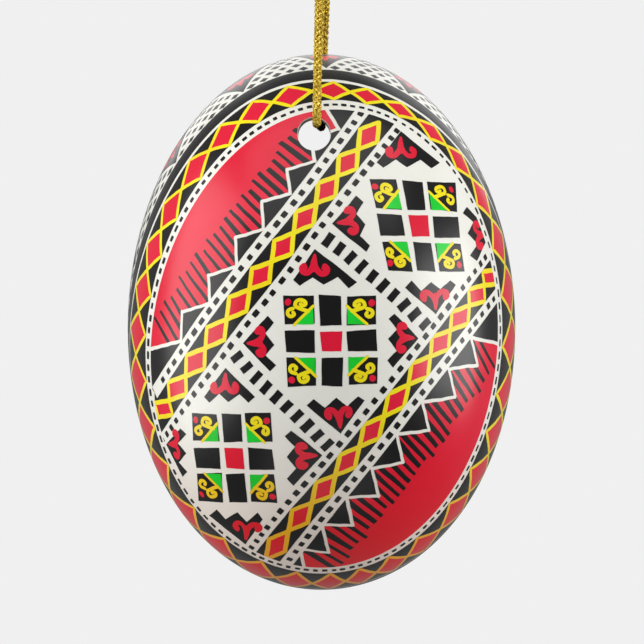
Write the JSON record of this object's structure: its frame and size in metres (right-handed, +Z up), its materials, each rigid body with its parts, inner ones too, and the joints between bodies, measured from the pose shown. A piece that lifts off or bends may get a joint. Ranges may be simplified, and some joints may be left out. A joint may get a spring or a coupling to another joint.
{
  "type": "pysanka egg ornament",
  "caption": "Blown decorated eggshell with a drilled hole through its upper part, hung from a loop of knotted gold cord.",
  "frame": {"origin": "the hanging point: between the two strands of cord, just under the knot", "axes": "+Z up along the egg's long axis, -Y out of the egg's front face, +X to the right of that face"},
  "size_m": [0.047, 0.047, 0.1049],
  "materials": {
    "eggshell": "gloss",
    "black_dye": "gloss",
    "red_dye": "gloss",
    "yellow_dye": "gloss",
    "green_dye": "gloss",
    "gold_cord": "gloss"
  },
  "bodies": {
    "knot": {"knot": "gold_cord"},
    "strands": {"cord": "gold_cord"},
    "egg": {"eggshell": "eggshell"}
  },
  "joints": [
    {"name": "cord_twist", "type": "hinge", "parent": "knot", "child": "strands", "pos_m": [0, 0, 0], "axis": [0, 0, 1], "range_deg": [-180, 180]},
    {"name": "egg_rock", "type": "hinge", "parent": "strands", "child": "egg", "pos_m": [-0.0017, 0, -0.0392], "axis": [0, 1, 0], "range_deg": [-45, 45]}
  ]
}
